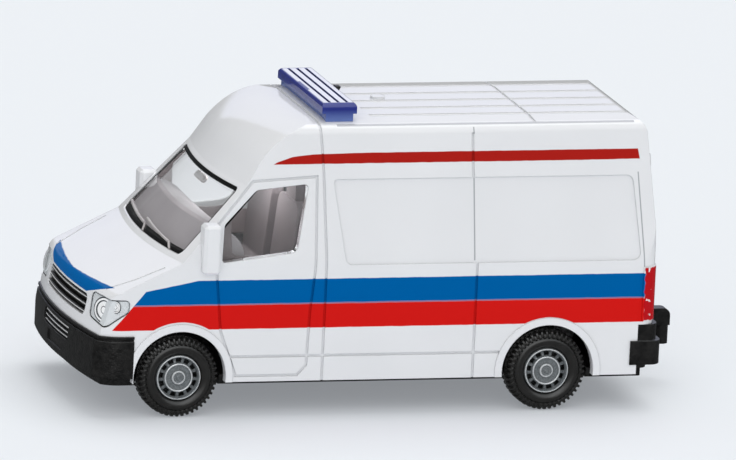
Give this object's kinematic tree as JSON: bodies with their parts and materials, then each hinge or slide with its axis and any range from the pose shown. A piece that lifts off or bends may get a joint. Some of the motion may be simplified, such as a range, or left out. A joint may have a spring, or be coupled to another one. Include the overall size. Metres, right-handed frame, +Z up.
{
  "type": "die-cast toy ambulance van",
  "caption": "Pocket-size die-cast toy of a high-roof van ambulance with a blue light bar, glazed cab, plastic base and tow hook; it rolls on turning wheels.",
  "frame": {"origin": "on the floor under the middle of the whole toy, hook included", "axes": "+X towards the tail, +Y towards the vehicle's right side, +Z up"},
  "size_m": [0.0842, 0.0356, 0.0405],
  "materials": {
    "white_enamel": "gloss enamel on cast zinc",
    "clear_plastic": "clear moulded plastic",
    "grey_plastic": "moulded plastic, satin",
    "black_plastic": "moulded plastic, satin",
    "lamp_plastic": "clear moulded plastic",
    "blue_plastic": "tinted moulded plastic, gloss",
    "steel": "bright drawn wire",
    "hub_plastic": "silver-grey moulded plastic",
    "tyre_rubber": "matt rubber"
  },
  "bodies": {
    "vehicle": {"body_shell": "white_enamel", "cab_glazing": "clear_plastic", "cab_interior": "grey_plastic", "radiator_grille": "black_plastic", "headlamp_left": "lamp_plastic", "headlamp_right": "lamp_plastic", "light_bar": "blue_plastic", "chassis_base": "black_plastic", "front_bumper": "black_plastic", "rear_bumper": "black_plastic", "tow_hook": "black_plastic", "front_rivet": "steel", "rear_rivet": "steel"},
    "front_wheelset": {"front_axle": "steel", "front_left_hub": "hub_plastic", "front_left_tyre": "tyre_rubber", "front_right_hub": "hub_plastic", "front_right_tyre": "tyre_rubber"},
    "rear_wheelset": {"rear_axle": "steel", "rear_left_hub": "hub_plastic", "rear_left_tyre": "tyre_rubber", "rear_right_hub": "hub_plastic", "rear_right_tyre": "tyre_rubber"}
  },
  "joints": [
    {"name": "front_axle_spin", "type": "hinge", "parent": "vehicle", "child": "front_wheelset", "pos_m": [-0.02935, 0, 0.00535], "axis": [0, 1, 0], "continuous": true},
    {"name": "rear_axle_spin", "type": "hinge", "parent": "vehicle", "child": "rear_wheelset", "pos_m": [0.02065, 0, 0.00535], "axis": [0, 1, 0], "continuous": true}
  ]
}
